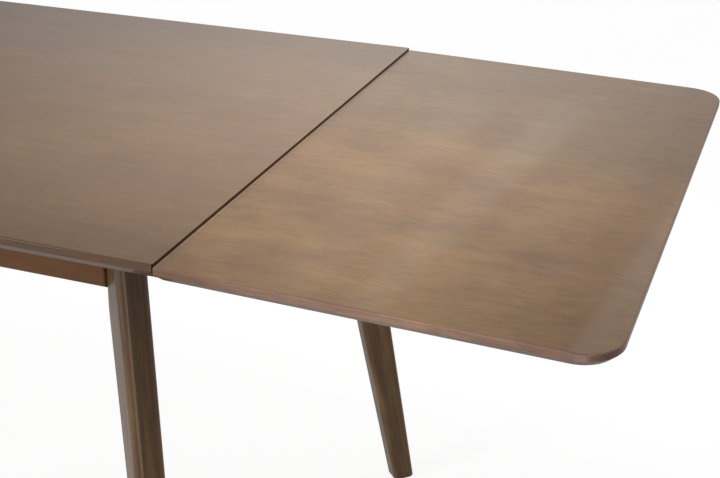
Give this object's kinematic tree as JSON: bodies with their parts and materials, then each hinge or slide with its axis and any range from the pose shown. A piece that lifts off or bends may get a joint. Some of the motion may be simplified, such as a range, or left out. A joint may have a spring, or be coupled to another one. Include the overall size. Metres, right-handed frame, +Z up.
{
  "type": "extendable dining table",
  "caption": "Rectangular wooden dining table on splayed tapered legs, with a hinged drop leaf at one end that is held level by locking flap brackets and lengthens the top.",
  "frame": {"origin": "on the floor, under the middle of the table's extended length and width", "axes": "+Z up, +X along the table from the fixed end towards the drop leaf, +Y towards the back"},
  "size_m": [1.656, 0.8266, 0.755],
  "materials": {
    "tabletop_wood": "walnut-stained veneer under satin lacquer",
    "frame_wood": "walnut-stained solid wood, satin lacquer",
    "leg_wood": "walnut-stained solid wood, satin lacquer",
    "raw_wood": "planed, uncoated",
    "hardware_steel": "pressed sheet steel, zinc plated",
    "zinc_steel": "bright zinc plate",
    "glide_plastic": "moulded nylon"
  },
  "bodies": {
    "table": {"main_top": "tabletop_wood", "front_apron": "frame_wood", "back_apron": "frame_wood", "right_end_apron": "frame_wood", "left_end_apron": "frame_wood", "centre_rail": "raw_wood", "leg_front_right": "leg_wood", "leg_back_right": "leg_wood", "leg_front_left": "leg_wood", "leg_back_left": "leg_wood", "corner_block_front_right": "raw_wood", "corner_block_back_right": "raw_wood", "corner_block_front_left": "raw_wood", "corner_block_back_left": "raw_wood", "leg_bolts": "zinc_steel", "leg_washers": "zinc_steel", "leg_nuts": "zinc_steel", "corner_block_screws": "zinc_steel", "foot_glides": "glide_plastic", "top_clips": "hardware_steel", "top_clip_screws": "zinc_steel", "hinge_front_fixed_plate": "hardware_steel", "hinge_middle_fixed_plate": "hardware_steel", "hinge_back_fixed_plate": "hardware_steel", "hinge_pins": "zinc_steel", "hinge_fixed_screws": "zinc_steel", "front_bracket_base": "hardware_steel", "back_bracket_base": "hardware_steel", "bracket_pins": "zinc_steel", "lock_pins": "zinc_steel", "lock_springs": "zinc_steel", "bracket_base_screws": "zinc_steel"},
    "leaf": {"leaf": "tabletop_wood", "hinge_front_leaf_plate": "hardware_steel", "hinge_middle_leaf_plate": "hardware_steel", "hinge_back_leaf_plate": "hardware_steel", "hinge_leaf_screws": "zinc_steel", "front_bracket_arm": "hardware_steel", "back_bracket_arm": "hardware_steel", "bracket_arm_screws": "zinc_steel"},
    "front_lock_lever": {"front_lock_lever": "hardware_steel"},
    "back_lock_lever": {"back_lock_lever": "hardware_steel"}
  },
  "joints": [
    {"name": "leaf_drop", "type": "hinge", "parent": "table", "child": "leaf", "pos_m": [0.38802, 0, 0.731], "axis": [0, 1, 0], "range_deg": [0, 89]},
    {"name": "front_lock_release", "type": "hinge", "parent": "table", "child": "front_lock_lever", "pos_m": [0.35802, -0.15, 0.725], "axis": [0, 1, 0], "range_deg": [0, 12], "stiffness_Nm_per_rad": 0.2, "springref_deg": -17.19},
    {"name": "back_lock_release", "type": "hinge", "parent": "table", "child": "back_lock_lever", "pos_m": [0.35802, 0.15, 0.725], "axis": [0, 1, 0], "range_deg": [0, 12], "stiffness_Nm_per_rad": 0.2, "springref_deg": -17.19}
  ]
}
